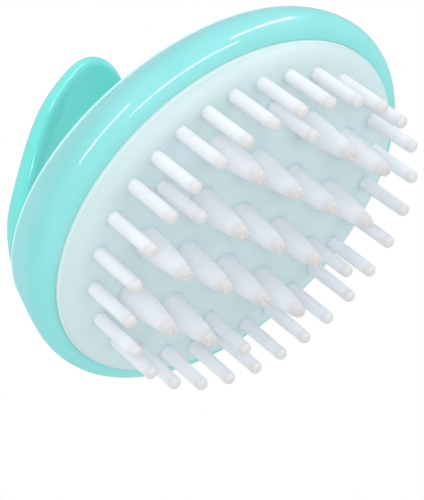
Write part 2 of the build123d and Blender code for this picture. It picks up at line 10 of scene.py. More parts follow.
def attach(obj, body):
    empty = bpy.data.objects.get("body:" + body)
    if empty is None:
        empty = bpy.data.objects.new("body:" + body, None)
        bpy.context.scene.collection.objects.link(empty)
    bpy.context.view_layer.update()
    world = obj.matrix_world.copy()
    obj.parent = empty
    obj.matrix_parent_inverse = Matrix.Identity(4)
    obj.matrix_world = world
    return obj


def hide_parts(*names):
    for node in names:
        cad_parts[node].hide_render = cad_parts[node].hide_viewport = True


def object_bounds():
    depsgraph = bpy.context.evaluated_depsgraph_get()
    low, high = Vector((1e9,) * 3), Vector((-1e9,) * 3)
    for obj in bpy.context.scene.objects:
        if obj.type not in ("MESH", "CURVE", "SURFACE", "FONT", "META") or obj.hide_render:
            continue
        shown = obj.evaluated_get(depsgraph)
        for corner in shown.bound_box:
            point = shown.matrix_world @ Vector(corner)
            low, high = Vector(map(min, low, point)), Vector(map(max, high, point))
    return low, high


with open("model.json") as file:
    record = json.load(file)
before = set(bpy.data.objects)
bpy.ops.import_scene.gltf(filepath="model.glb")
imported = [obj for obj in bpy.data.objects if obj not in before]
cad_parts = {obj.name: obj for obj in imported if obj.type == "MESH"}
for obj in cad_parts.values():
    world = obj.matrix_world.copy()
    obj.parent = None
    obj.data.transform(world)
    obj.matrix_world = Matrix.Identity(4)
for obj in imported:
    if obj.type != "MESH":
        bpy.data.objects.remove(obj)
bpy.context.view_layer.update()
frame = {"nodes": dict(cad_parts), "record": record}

# Scalp massager brush, seen from below on its cone side. Shapes are in millimetres in the CAD
# frame, and MM turns them into metres. Cameras, lights and shader distances are in metres.
MM = 0.001

# ---------------------------------------------------------------- main dimensions

# Bristles: lengths, radii, the fillets at their roots and the blunt ends of the pins
CONE_LENGTH, PIN_LENGTH = 17.0, 16.0
CONE_ROOT = 3.6
PIN_ROOT, PIN_TIP = 1.75, 1.6
CONE_FLARE, PIN_FLARE = 0.35, 0.22
PIN_END = 1.15
FIELD_X, PITCH_X, PITCH_Y = -0.6, 8.2, 11.65
RING_COUNT, RING_A, RING_B = 28, 42.4, 34.1

# Pad and the bore it fills; its edge is rounded over a height and a wider inward reach
PAD_A, PAD_B, PAD_THICKNESS = 50.2, 40.4, 5.6
PAD_EDGE, PAD_SOFT_EDGE = 3.65, 4.8
BORE_A, BORE_B = PAD_A + 0.15, PAD_B + 0.15
LEDGE = 3.05
FACE_Z = CONE_LENGTH
CARRIER_Z = FACE_Z + PAD_THICKNESS
CARRIER_TOP = CARRIER_Z + 2.4

# Housing, from the lip round the pad over the bull nose to the crest
LIP_Z = FACE_Z + 3.7
LIP_CORNER = 0.15
WIDEST_A, WIDEST_B, WIDEST_Z = 55.1, 46.3, FACE_Z + 9.1
CREST_A, CREST_B, CREST_Z, CREST_X = 53.5, 37.3, FACE_Z + 22.8, 1.55
CREST_LIP, CREST_ROUND = 1.1, 0.3
BEAD_RADIUS, BEAD_REACH = 0.42, 0.22
NOSE_POWER, NOSE_STEPS = 2.25, 32
WALL_LEAN, WALL_STEPS, WALL_END, WALL_DROP = 1.3, 16, 0.975, 0.6

# Back cover, door, bezel and button
COVER_A, COVER_B = CREST_A - CREST_LIP - 0.15, CREST_B - CREST_LIP - 0.15
COVER_EDGE_Z = CREST_Z - 0.2
COVER_THICKNESS, COVER_ROUND, DOME_RISE = 2.4, 0.35, 5.0
SEAT_Z = COVER_EDGE_Z - COVER_THICKNESS - 0.5
BUTTON_X, BUTTON_RADIUS, BUTTON_FLANGE, BUTTON_PROUD, BUTTON_ROUND = 46.9, 4.3, 4.9, 1.4, 1.2
BEZEL_RADIUS, BEZEL_HEIGHT, BEZEL_ROUND, BEZEL_INNER_ROUND = 5.4, 3.4, 0.45, 0.2
BAY_X, DOOR_SCREW_X, DOOR_LAYER = 22.7, 38.0, 1.1
DOOR_HALF_LENGTH, DOOR_HALF_WIDTH, DOOR_CORNER = 12.3, 23.5, 3.0
TAB_RADIUS, TAB_ROOT_ROUND = 3.0, 0.7
DOOR_GAP, DOOR_ROUND = 0.15, 0.4
POCKET_DEPTH, POCKET_ROUND = 1.6, 0.3

# Edges that turn by more than this many degrees are drawn sharp, on smooth and on joined shapes
SHARP_ANGLE, JOINED_SHARP_ANGLE = 38.0, 60.0
# Points closer than this many metres are merged, in new meshes and after a cut
WELD, CUT_WELD = 1e-6, 2e-6

# ---------------------------------------------------------------- mesh helpers


def make_piece(name, points, faces, sharp_angle=SHARP_ANGLE):
    """A closed mesh object from millimetre points, smooth except at edges sharper than the angle."""
    mesh = bpy.data.meshes.new(name)
    mesh.from_pydata([(x * MM, y * MM, z * MM) for x, y, z in points], [], faces)
    work = bmesh.new()
    work.from_mesh(mesh)
    bmesh.ops.remove_doubles(work, verts=work.verts, dist=WELD)
    bmesh.ops.recalc_face_normals(work, faces=work.faces)
    finish_shading(work, sharp_angle)
    work.to_mesh(mesh)
    work.free()
    piece = bpy.data.objects.new(name, mesh)
    bpy.context.scene.collection.objects.link(piece)
    return piece


def finish_shading(work, sharp_angle):
    """Smooth faces, with edges above the angle marked sharp."""
    limit = math.radians(sharp_angle)
    for face in work.faces:
        face.smooth = True
    for edge in work.edges:
        edge.smooth = len(edge.link_faces) == 2 and edge.calc_face_angle(0.0) < limit


def bridge_rings(rings, closed_loop=False, cap_start=True, cap_end=True):
    """Points and faces of a skin over rings that have equal numbers of points."""
    count = len(rings[0])
    points = [point for ring in rings for point in ring]
    faces = []
    pairs = len(rings) if closed_loop else len(rings) - 1
    for row in range(pairs):
        here, there = row * count, ((row + 1) % len(rings)) * count
        for k in range(count):
            after = (k + 1) % count
            faces.append((here + k, here + after, there + after, there + k))
    for wanted, first in ((cap_start, 0), (cap_end, (len(rings) - 1) * count)):
        if wanted and not closed_loop:
            ring = points[first:first + count]
            middle = [sum(axis) / count for axis in zip(*ring)]
            points.append(middle)
            hub = len(points) - 1
            faces += [(first + k, first + (k + 1) % count, hub) for k in range(count)]
    return points, faces


def oval(centre_x, half_length, half_width, height, count=320):
    """One ring of points on an ellipse at a height."""
    turn = 2 * math.pi / count
    return [(centre_x + half_length * math.cos(turn * k), half_width * math.sin(turn * k), height)
            for k in range(count)]


def rounding(start_turn, end_turn, steps=5):
    """Unit offsets round a quarter corner, from one angle in degrees to another."""
    angles = [start_turn + (end_turn - start_turn) * k / steps for k in range(steps + 1)]
    return [(math.cos(math.radians(a)), math.sin(math.radians(a))) for a in angles]


def lathe(profile, centre=(0.0, 0.0), count=48, shape=None):
    """Skin of a profile of (radius, height) turned about an upright axis."""
    rings = []
    for radius, height in profile:
        ring = []
        for k in range(count):
            angle = 2 * math.pi * k / count
            r, z = shape(radius, height, angle) if shape else (radius, height)
            ring.append((centre[0] + r * math.cos(angle), centre[1] + r * math.sin(angle), z))
        rings.append(ring)
    return bridge_rings(rings)


def join_skins(skins):
    """Several skins as one list of points and faces."""
    points, faces = [], []
    for skin_points, skin_faces in skins:
        base = len(points)
        points += skin_points
        faces += [tuple(base + k for k in face) for face in skin_faces]
    return points, faces


def dome_height(x, y):
    """Height of the back cover's outer face."""
    return COVER_EDGE_Z + DOME_RISE * (1 - ((x - CREST_X) / COVER_A) ** 2 - (y / COVER_B) ** 2)


# ---------------------------------------------------------------- housing shell

# stations of (centre X, half length, half width, height), round the wall's section
housing_profile = []
for c, s in rounding(180, 270):
    inset, rise = LIP_CORNER + LIP_CORNER * c, LIP_CORNER + LIP_CORNER * s
    housing_profile.append((FIELD_X, BORE_A + inset, BORE_B + inset, LIP_Z + rise))
for step in range(1, NOSE_STEPS + 1):
    turn = math.radians(90 * step / NOSE_STEPS)
    out = math.sin(turn) ** (2 / NOSE_POWER)
    rise = 1 - math.cos(turn) ** (2 / NOSE_POWER)
    if out > 0.1:  # the first steps would crowd the lip's corner
        housing_profile.append((FIELD_X * (1 - out), BORE_A + (WIDEST_A - BORE_A) * out,
                                BORE_B + (WIDEST_B - BORE_B) * out, LIP_Z + (WIDEST_Z - LIP_Z) * rise))
for step in range(1, WALL_STEPS + 1):
    fraction = min(step / WALL_STEPS, WALL_END)
    lean = fraction ** WALL_LEAN
    housing_profile.append((CREST_X * lean, WIDEST_A + (CREST_A - WIDEST_A) * lean,
                            WIDEST_B + (CREST_B - WIDEST_B) * lean,
                            WIDEST_Z + (CREST_Z - WALL_DROP - WIDEST_Z) * fraction))
for c, s in rounding(-50, 90, 8) + rounding(90, 180):
    radius = BEAD_RADIUS if c > 0 else CREST_ROUND
    reach = BEAD_REACH if c > 0 else CREST_LIP - CREST_ROUND
    housing_profile.append((CREST_X, CREST_A - reach + radius * c, CREST_B - reach + radius * c,
                            CREST_Z - radius + radius * s))
# down the inside: the cover's seat, the cavity, and the ledge over the carrier plate
cavity_a, cavity_b = COVER_A - 1.25, COVER_B - 0.85
housing_profile += [
    (CREST_X, CREST_A - CREST_LIP, CREST_B - CREST_LIP, SEAT_Z),
    (CREST_X, cavity_a, cavity_b, SEAT_Z),
    (0.0, WIDEST_A - 3.1, WIDEST_B - 4.0, WIDEST_Z + 3.4),
    (FIELD_X, BORE_A - LEDGE + 1, BORE_B - LEDGE + 1, CARRIER_TOP + 1.5),
    (FIELD_X, BORE_A - LEDGE, BORE_B - LEDGE, CARRIER_TOP + 1.5),
    (FIELD_X, BORE_A - LEDGE, BORE_B - LEDGE, CARRIER_TOP),
    (FIELD_X, BORE_A, BORE_B, CARRIER_TOP),
]
housing_rings = [oval(*station) for station in housing_profile]
shell = make_piece("housing_shell", *bridge_rings(housing_rings, closed_loop=True))

# ---------------------------------------------------------------- silicone pad

# stations of (scale, offset, height), up over the edge and in to the middle of the face
pad_profile = [(1.0, 0.0, CARRIER_Z), (1.0, 0.0, FACE_Z + PAD_EDGE + 0.3)]
for c, s in rounding(0, -90, 10):
    pad_profile.append((1.0, PAD_SOFT_EDGE * (c - 1), FACE_Z + PAD_EDGE + PAD_EDGE * s))
for step in range(1, 26):
    pad_profile.append((1 - step / 26, -PAD_SOFT_EDGE * (1 - step / 26), FACE_Z))
pad_rings = [oval(FIELD_X, (BORE_A - 0.02) * scale + offset, (BORE_B - 0.02) * scale + offset, height)
             for scale, offset, height in pad_profile]
pad = make_piece("silicone_pad", *bridge_rings(pad_rings))

# ---------------------------------------------------------------- pins and cones

cone_sites = [(i * PITCH_X, 0.0) for i in (-4, -2, 0, 2, 4)]
cone_sites += [(i * PITCH_X, j * PITCH_Y) for j in (-1, 1) for i in (-3, -1, 1, 3)]
cone_sites += [(0.0, -2 * PITCH_Y), (0.0, 2 * PITCH_Y)]
pin_sites = [(i * 2 * PITCH_X, j * 2 * PITCH_Y) for i in (-1, 1) for j in (-1, 1)]
for step in range(RING_COUNT):
    angle = 2 * math.pi * step / RING_COUNT
    reach = RING_A * RING_B / math.hypot(RING_B * math.cos(angle), RING_A * math.sin(angle))
    pin_sites.append((reach * math.cos(angle), reach * math.sin(angle)))


def root_flare(root_radius, flare):
    """The fillet where a bristle leaves the pad, as (radius, height) from inside the pad out."""
    profile = [(root_radius + flare, FACE_Z + 0.8)]
    for c, s in rounding(180, 90, 6):
        profile.append((root_radius + flare + flare * c, FACE_Z - flare + flare * s))
    return profile[:1] + profile[:0:-1]


def pin_profile():
    """One thin pin, from inside the pad to its rounded tip."""
    profile = root_flare(PIN_ROOT, PIN_FLARE)
    tip_z = CONE_LENGTH - PIN_LENGTH
    start_z = FACE_Z - PIN_FLARE
    length = start_z - tip_z - PIN_END
    for step in range(1, 9):
        fraction = step / 8
        profile.append((PIN_ROOT + (PIN_TIP - PIN_ROOT) * fraction, start_z - length * fraction))
    for step in range(1, 11):
        turn = math.radians(90 * step / 10)
        profile.append((PIN_TIP * math.cos(turn) ** 0.75, tip_z + PIN_END * (1 - math.sin(turn))))
    return profile


# (radius, height) round the moulded stub at a cone's end
STUB_PROFILE = [(1.80, 1.50), (1.68, 1.20), (1.54, 0.98), (1.46, 0.80), (1.42, 0.60), (1.38, 0.42),
                (1.28, 0.22), (1.06, 0.10), (0.76, 0.06), (0.45, 0.10), (0.20, 0.12)]


def cone_profile():
    """One fat cone, nearly straight sided, that ends in a short stub with an uneven crown."""
    profile = root_flare(CONE_ROOT, CONE_FLARE)
    for step in range(1, 17):
        depth = 0.03 + 0.86 * step / 16
        profile.append((CONE_ROOT - 0.9 * depth - 1.15 * depth ** 2, FACE_Z * (1 - depth)))
    return profile + STUB_PROFILE


draw = random.Random(7)
pins = make_piece("thin_pins_soft", *join_skins(
    [lathe(pin_profile(), (FIELD_X + x, y), 32) for x, y in pin_sites]))

cone_skins = []
for x, y in cone_sites:
    lobes, phase = draw.choice((6, 7, 8)), draw.uniform(0, 6.28)
    drift = draw.uniform(0, 6.28)

    def crown(radius, height, angle, lobes=lobes, phase=phase, drift=drift):
        """Small uneven nubs round the stub's end."""
        near_tip = max(0.0, 1 - height / 1.2)
        wave = abs(math.sin(lobes * angle / 2 + phase)) ** 0.8
        uneven = 0.5 + 0.5 * math.sin(angle * 2 + drift)
        rim = min(1.0, radius / 0.6) * near_tip
        return (radius * (1 + rim * (0.14 * wave - 0.07)),
                height + rim * (0.08 + 0.42 * (1 - wave) * (0.4 + 0.6 * uneven)))

    cone_skins.append(lathe(cone_profile(), (FIELD_X + x, y), 56, crown))
cones = make_piece("massage_cones_soft", *join_skins(cone_skins))

# ---------------------------------------------------------------- handle loop

HANDLE_POINTS = [Vector((-47.6, CREST_Z - 2.2)), Vector((-52.3, CREST_Z + 6.3)),
                 Vector((-14.8, CREST_Z + 46.9)), Vector((8.5, CREST_Z + 39.6))]
HALF_WIDTHS = [(0.0, 12.6), (0.33, 10.8), (0.66, 16.6), (1.0, 16.4)]
HALF_THICK, ROOT_EXTRA, RIM, RIM_ROUND = 2.0, 0.9, 1.65, 2.3
ROOT_BEND, TIP_BEND, END_LENGTH = 32.0, 46.0, 16.8
FOOT_X, FOOT_LENGTH, FOOT_WIDTH, FOOT_ROUND = -44.6, 9.6, 18.0, 1.6


def bezier_at(t):
    """Point and unit direction on the handle's centre line, in the XZ plane."""
    a, b, c, d = HANDLE_POINTS
    point = a * (1 - t) ** 3 + b * 3 * t * (1 - t) ** 2 + c * 3 * t * t * (1 - t) + d * t ** 3
    slope = (b - a) * 3 * (1 - t) ** 2 + (c - b) * 6 * t * (1 - t) + (d - c) * 3 * t * t
    return point, slope.normalized()


fine = [bezier_at(k / 400)[0] for k in range(401)]
lengths = [0.0]
for before, after in zip(fine, fine[1:]):
    lengths.append(lengths[-1] + (after - before).length)


def parameter_at(fraction):
    """The curve parameter at a fraction of its length."""
    goal = fraction * lengths[-1]
    index = max(1, next(k for k, reached in enumerate(lengths) if reached >= goal - 1e-9))
    share = (goal - lengths[index - 1]) / (lengths[index] - lengths[index - 1])
    return (index - 1 + share) / 400


def blade_half_width(fraction):
    """Half width of the handle: a broad foot, a waist and a broad blade."""
    for (start, low), (end, high) in zip(HALF_WIDTHS, HALF_WIDTHS[1:]):
        if fraction <= end + 1e-9:
            share = (fraction - start) / (end - start)
            return low + (high - low) * share * share * (3 - 2 * share)
    return HALF_WIDTHS[-1][1]


def handle_ring(fraction, count=112):
    """One closed crescent section of the handle, with its rims rounded over."""
    point, slope = bezier_at(parameter_at(fraction))
    outward = Vector((-slope[1], slope[0]))
    half_width = blade_half_width(fraction) + RIM
    thick = HALF_THICK + ROOT_EXTRA * (1 - fraction) ** 2
    bend = ROOT_BEND + (TIP_BEND - ROOT_BEND) * fraction
    round_x = HANDLE_POINTS[3][0] - END_LENGTH
    if point[0] > round_x:
        along = min(1.0, (point[0] - round_x) / END_LENGTH)
        half_width = min(half_width, (HALF_WIDTHS[-1][1] + HALF_THICK) * (1 - along ** 2.5) ** 0.435)
    rounding_width = RIM_ROUND * min(1.0, half_width / 5)
    ring = []
    for k in range(count):
        across = -math.cos(2 * math.pi * k / count)
        y = half_width * across
        inward = half_width * (1 - abs(across))
        edge = min(1.0, inward / rounding_width) if rounding_width > 1e-6 else 0.0
        height = thick * math.sqrt(max(0.0, 1 - (1 - edge) ** 2)) * min(1.0, half_width / 2.6) ** 0.5
        lift = (height if k < count / 2 else -height) - y * y / (2 * bend)
        ring.append((point[0] + outward[0] * lift, y, point[1] + outward[1] * lift))
    return ring


def foot_skin():
    """The oblong block under the handle's root that its two screws hold."""
    rings = []
    stations = [(0.0, CREST_Z - 1.5)]
    stations += [(FOOT_ROUND - FOOT_ROUND * c, CREST_Z + 2.6 + FOOT_ROUND * s) for c, s in rounding(0, 90)]
    for inset, height in stations:
        half_length, half_width = FOOT_LENGTH / 2 - inset, FOOT_WIDTH / 2 - inset
        ring = []
        for k in range(64):
            turn = 2 * math.pi * k / 64
            across = math.copysign(abs(math.cos(turn)) ** 0.6, math.cos(turn))
            along = math.copysign(abs(math.sin(turn)) ** 0.5, math.sin(turn))
            ring.append((FOOT_X + half_length * across, half_width * along, height))
        rings.append(ring)
    return bridge_rings(rings)


handle_fractions = [k / 100 for k in range(0, 72)]
handle_fractions += [0.72 + 0.28 * math.sin(math.radians(90 * k / 40)) for k in range(0, 41)]
handle_rings = [handle_ring(fraction) for fraction in handle_fractions]
handle = make_piece("handle_loop", *join_skins([bridge_rings(handle_rings), foot_skin()]),
                    sharp_angle=JOINED_SHARP_ANGLE)

# ---------------------------------------------------------------- battery door


def rounded_polygon(corners, steps=8):
    """Points round a polygon of (x, y, radius) corners with level and upright sides."""
    outline = []
    for k, (x, y, radius) in enumerate(corners):
        here = Vector((x, y))
        arriving = (here - Vector(corners[k - 1][:2])).normalized()
        leaving = (Vector(corners[(k + 1) % len(corners)][:2]) - here).normalized()
        start, end = here - arriving * radius, here + leaving * radius
        middle = start + leaving * radius
        for step in range(steps + 1):
            turn = math.radians(90 * step / steps)
            outline.append(middle + (start - middle) * math.cos(turn) + (end - middle) * math.sin(turn))
    return outline


def door_outline(inset):
    """The door's outline drawn in by an inset, with its long sides divided."""
    low, high = BAY_X - DOOR_HALF_LENGTH + inset, BAY_X + DOOR_HALF_LENGTH - inset
    side, turn = DOOR_HALF_WIDTH - inset, DOOR_CORNER - inset
    tab, tab_side = DOOR_SCREW_X + TAB_RADIUS - inset, TAB_RADIUS - inset
    tab_root, tab_turn = TAB_ROOT_ROUND + inset, tab_side * 0.98
    corners = [(high, tab_side, tab_root), (high, side, turn), (low, side, turn),
               (low, -side, turn), (high, -side, turn), (high, -tab_side, tab_root),
               (tab, -tab_side, tab_turn), (tab, tab_side, tab_turn)]
    outline = []
    rough = rounded_polygon(corners)
    for here, after in zip(rough, rough[1:] + rough[:1]):
        pieces = max(1, round((after - here).length / 1.5))
        outline += [here.lerp(after, k / pieces) for k in range(pieces)]
    return outline


def door_rings(base, stations):
    """Rings over the dome: each station moves the outline in, scales it and sets its depth."""
    centre = Vector((BAY_X, 0.0))
    rings = []
    for inset, scale, depth in stations:
        shrink = Vector(((DOOR_HALF_LENGTH - inset) / DOOR_HALF_LENGTH,
                         (DOOR_HALF_WIDTH - inset) / DOOR_HALF_WIDTH))
        ring = []
        for point in base:
            offset = point - centre
            x = centre[0] + offset[0] * shrink[0] * scale
            y = centre[1] + offset[1] * shrink[1] * scale
            ring.append((x, y, dome_height(x, y) - depth))
        rings.append(ring)
    return rings


MIDDLE = 0.001  # the scale of the smallest ring, at the door's middle
door_base = door_outline(0.0)
door_stations = [(DOOR_GAP, MIDDLE, DOOR_LAYER), (DOOR_GAP, 1.0, DOOR_LAYER), (DOOR_GAP, 1.0, 0.45)]
for c, s in rounding(0, 90):
    door_stations.append((DOOR_GAP + DOOR_ROUND * (1 - c), 1.0, DOOR_ROUND - DOOR_ROUND * s))
for step in range(1, 16):
    door_stations.append((DOOR_GAP + DOOR_ROUND, 1 - step / 16, 0.0))
door_plate = make_piece("battery_door_plate", *bridge_rings(door_rings(door_base, door_stations)))

# ---------------------------------------------------------------- back cover

# stations of (scale, offset, depth), from under the middle out, up the edge and in over the dome
cover_rings = []
bottom = [(scale, 0.0, COVER_THICKNESS) for scale in (0.25, 0.5, 0.75, 0.96)]
rim_up = [(1.0, COVER_ROUND * (c - 1), COVER_ROUND - COVER_ROUND * s) for c, s in rounding(0, 90, 4)]
top = [(1 - step / 30, -COVER_ROUND * (1 - step / 30), 0.0) for step in range(1, 30)]
for scale, offset, depth in bottom + [(1.0, 0.0, COVER_THICKNESS)] + rim_up + top:
    ring = oval(CREST_X, COVER_A * scale + offset, COVER_B * scale + offset, 0.0, 160)
    cover_rings.append([(x, y, dome_height(x, y) - depth) for x, y, _ in ring])
cover = make_piece("back_cover_shell", *bridge_rings(cover_rings))


def carve(target, skin):
    """Cuts a closed skin out of a piece."""
    tool = make_piece("carving_tool", *skin)
    cut = target.modifiers.new("cut", "BOOLEAN")
    cut.operation, cut.solver, cut.object = "DIFFERENCE", "EXACT", tool
    depsgraph = bpy.context.evaluated_depsgraph_get()
    result = bpy.data.meshes.new_from_object(target.evaluated_get(depsgraph))
    target.modifiers.clear()
    old = target.data
    target.data = result
    bpy.data.meshes.remove(old)
    tool_mesh = tool.data
    bpy.data.objects.remove(tool)
    bpy.data.meshes.remove(tool_mesh)
    work = bmesh.new()
    work.from_mesh(result)
    bmesh.ops.remove_doubles(work, verts=work.verts, dist=CUT_WELD)
    bmesh.ops.dissolve_degenerate(work, edges=work.edges, dist=CUT_WELD)
    finish_shading(work, SHARP_ANGLE)
    work.to_mesh(result)
    work.free()


pocket = [(0.0, MIDDLE, POCKET_DEPTH), (0.0, 1.0, POCKET_DEPTH), (0.0, 1.0, POCKET_ROUND)]
for c, s in rounding(180, 90):
    pocket.append((-POCKET_ROUND - POCKET_ROUND * c, 1.0, POCKET_ROUND - POCKET_ROUND * s))
pocket += [(-2 * POCKET_ROUND, 1.0, -1.0), (-2 * POCKET_ROUND, MIDDLE, -1.0)]
carve(cover, bridge_rings(door_rings(door_base, pocket)))
bezel_z = dome_height(BUTTON_X, 0) + 1.0
carve(cover, lathe([(BEZEL_RADIUS + 0.05, bezel_z - 8), (BEZEL_RADIUS + 0.05, bezel_z + 4)],
                   (BUTTON_X, 0.0), 96))

# ---------------------------------------------------------------- bezel and button

bezel_profile = [(BUTTON_RADIUS + 0.15, bezel_z - BEZEL_HEIGHT), (BEZEL_RADIUS, bezel_z - BEZEL_HEIGHT)]
bezel_profile += [(BEZEL_RADIUS - BEZEL_ROUND + BEZEL_ROUND * c, bezel_z - BEZEL_ROUND + BEZEL_ROUND * s)
                  for c, s in rounding(0, 90)]
bezel_profile += [(BUTTON_RADIUS + 0.35 + BEZEL_INNER_ROUND * c,
                   bezel_z - BEZEL_INNER_ROUND + BEZEL_INNER_ROUND * s) for c, s in rounding(90, 180)]
bezel_rings = []
for radius, height in bezel_profile:
    bezel_rings.append([(BUTTON_X + radius * math.cos(2 * math.pi * k / 96),
                         radius * math.sin(2 * math.pi * k / 96), height) for k in range(96)])
bezel = make_piece("button_ring", *bridge_rings(bezel_rings, closed_loop=True))

button_top = bezel_z + BUTTON_PROUD
flange_z = bezel_z - BEZEL_HEIGHT - 0.2
button_profile = [(BUTTON_FLANGE, flange_z - 0.9), (BUTTON_FLANGE, flange_z), (BUTTON_RADIUS, flange_z)]
button_profile += [(BUTTON_RADIUS - BUTTON_ROUND + BUTTON_ROUND * c,
                    button_top - BUTTON_ROUND + BUTTON_ROUND * s) for c, s in rounding(0, 90, 8)]
button_profile += [(2.6, button_top - 0.10), (1.9, button_top - 0.22), (1.0, button_top - 0.24),
                   (0.8, button_top - 0.20), (0.6, button_top - 0.02), (0.3, button_top)]
button = make_piece("power_button", *lathe(button_profile, (BUTTON_X, 0.0), 72),
                    sharp_angle=JOINED_SHARP_ANGLE)

# ---------------------------------------------------------------- materials


def srgb(red, green, blue):
    """Linear colour from 0 to 255 display values."""
    def linear(value):
        value /= 255
        return value / 12.92 if value <= 0.04045 else ((value + 0.055) / 1.055) ** 2.4
    return linear(red), linear(green), linear(blue), 1.0


class Finish:
    """A procedural material: two colours in soft clouds, uneven roughness and a fine bump."""

    def __init__(self, name, light, dark, cloud=60.0, rough=(0.2, 0.3), grain=2500.0, bump=0.02,
                 bump_distance=0.00004, **sockets):
        self.material = bpy.data.materials.new(name)
        self.material.use_nodes = True
        self.tree = self.material.node_tree
        self.shader = self.tree.nodes["Principled BSDF"]
        self.place = self.node("ShaderNodeTexCoord").outputs["Object"]
        clouds = self.noise(cloud, 3.0)
        blend = self.node("ShaderNodeMix", data_type="RGBA")
        self.link(self.ramp(clouds, 0.35, 0.65), blend.inputs["Factor"])
        blend.inputs["A"].default_value = light
        blend.inputs["B"].default_value = dark
        self.colour = blend.outputs["Result"]
        spread = self.node("ShaderNodeMapRange")
        self.link(self.noise(cloud * 6, 4.0), spread.inputs["Value"])
        spread.inputs["From Min"].default_value = 0.3
        spread.inputs["From Max"].default_value = 0.7
        spread.inputs["To Min"].default_value, spread.inputs["To Max"].default_value = rough
        self.link(spread.outputs["Result"], self.shader.inputs["Roughness"])
        relief = self.node("ShaderNodeBump")
        relief.inputs["Strength"].default_value = bump
        relief.inputs["Distance"].default_value = bump_distance
        self.link(self.noise(grain, 2.0), relief.inputs["Height"])
        self.link(relief.outputs["Normal"], self.shader.inputs["Normal"])
        for socket, value in sockets.items():
            self.shader.inputs[socket.replace("_", " ")].default_value = value
        self.link(self.colour, self.shader.inputs["Base Color"])

    def node(self, kind, **settings):
        made = self.tree.nodes.new(kind)
        for setting, value in settings.items():
            setattr(made, setting, value)
        return made

    def link(self, start, end):
        self.tree.links.new(start, end)

    def noise(self, scale, detail):
        made = self.node("ShaderNodeTexNoise")
        self.link(self.place, made.inputs["Vector"])
        made.inputs["Scale"].default_value = scale
        made.inputs["Detail"].default_value = detail
        return made.outputs["Fac"]

    def ramp(self, value, low, high):
        """Smooth 0 to 1 between two values."""
        made = self.node("ShaderNodeMapRange", interpolation_type="SMOOTHSTEP")
        self.link(value, made.inputs["Value"])
        made.inputs["From Min"].default_value, made.inputs["From Max"].default_value = low, high
        return made.outputs["Result"]

    def axis(self, letter):
        made = self.node("ShaderNodeSeparateXYZ")
        self.link(self.place, made.inputs["Vector"])
        return made.outputs[letter]

    def reach(self, half_length, half_width):
        """How far out a point is on an oval round the bristle field: 0 at its middle, 1 at its edge."""
        moved = self.node("ShaderNodeVectorMath", operation="SUBTRACT")
        self.link(self.place, moved.inputs[0])
        moved.inputs[1].default_value = (FIELD_X * MM, 0, 0)
        scaled = self.node("ShaderNodeVectorMath", operation="MULTIPLY")
        self.link(moved.outputs["Vector"], scaled.inputs[0])
        scaled.inputs[1].default_value = (1 / (half_length * MM), 1 / (half_width * MM), 0)
        length = self.node("ShaderNodeVectorMath", operation="LENGTH")
        self.link(scaled.outputs["Vector"], length.inputs[0])
        return length.outputs["Value"]

    def tint(self, mask, colour, amount=1.0):
        """Mixes a colour over the base where the mask is high."""
        scaled = self.node("ShaderNodeMath", operation="MULTIPLY")
        self.link(mask, scaled.inputs[0])
        scaled.inputs[1].default_value = amount
        blend = self.node("ShaderNodeMix", data_type="RGBA")
        self.link(scaled.outputs["Value"], blend.inputs["Factor"])
        self.link(self.colour, blend.inputs["A"])
        blend.inputs["B"].default_value = colour
        self.colour = blend.outputs["Result"]
        self.link(self.colour, self.shader.inputs["Base Color"])


gloss = dict(cloud=45, rough=(0.30, 0.38), grain=900, bump=0.01, Coat_Weight=1.0, Coat_Roughness=0.03,
             IOR=1.3, Subsurface_Weight=0.1, Subsurface_Scale=0.004)
aqua = Finish("aqua_gloss", srgb(141, 214, 215), srgb(135, 211, 211), **gloss)
# the shell's plastic again, in a more saturated green as painted bounce light between the handle and the
# body
aqua_handle = Finish("aqua_gloss_handle_painted_bounce", srgb(121, 219, 213), srgb(114, 216, 209), cloud=45,
                     rough=(0.30, 0.38), grain=900, bump=0.01, Coat_Weight=0.9, Coat_Roughness=0.04,
                     IOR=1.3, Subsurface_Weight=0.4, Subsurface_Scale=0.008)
shell_finish = Finish("aqua_gloss_shell", srgb(141, 214, 215), srgb(135, 211, 211), **gloss)
# a painted highlight: a pale line on the crest's bead
crest_highlight_band = (CREST_Z - 0.75) * MM, (CREST_Z - 0.6) * MM
shell_finish.tint(shell_finish.ramp(shell_finish.axis("Z"), *crest_highlight_band), srgb(226, 250, 250), 0.8)
pad_finish = Finish("pad_silicone", srgb(204, 219, 224), srgb(199, 216, 220), cloud=70,
                    rough=(0.42, 0.52), grain=1800, bump=0.06, IOR=1.42, Subsurface_Weight=0.15,
                    Subsurface_Scale=0.002)
# painted shade darker towards the pad's edge, with a painted highlight as a light line right at the bore
pad_finish.tint(pad_finish.ramp(pad_finish.reach(BORE_A, BORE_B), 0.78, 0.97), srgb(194, 208, 213), 0.4)
pad_finish.tint(pad_finish.ramp(pad_finish.reach(BORE_A, BORE_B), 0.993, 0.997), srgb(222, 238, 236), 0.6)
bristle = Finish("bristle_silicone", srgb(232, 232, 238), srgb(228, 228, 234), cloud=120,
                 rough=(0.38, 0.5), grain=2200, bump=0.06, IOR=1.42, Subsurface_Weight=0.2,
                 Subsurface_Scale=0.002)
# tips in a darker cream, partly their own tint and partly painted shade, and roots that take the pad's
# colour
bristle.tint(bristle.ramp(bristle.axis("Z"), 0.0045, 0.0), srgb(200, 192, 190), 0.8)
bristle.tint(bristle.ramp(bristle.axis("Z"), 0.0150, 0.0172), srgb(220, 228, 234), 0.3)
bristle.tint(bristle.ramp(bristle.axis("Z"), 0.0162, 0.0169), srgb(204, 219, 224), 1.0)
button_finish = Finish("button_silicone", srgb(240, 242, 245), srgb(232, 236, 240), cloud=200,
                       rough=(0.4, 0.5), grain=2400, bump=0.08, Subsurface_Weight=0.2,
                       Subsurface_Scale=0.002)
for soft in (aqua, shell_finish, aqua_handle, pad_finish, bristle, button_finish):
    soft.shader.inputs["Subsurface Radius"].default_value = (1.0, 1.1, 1.1)

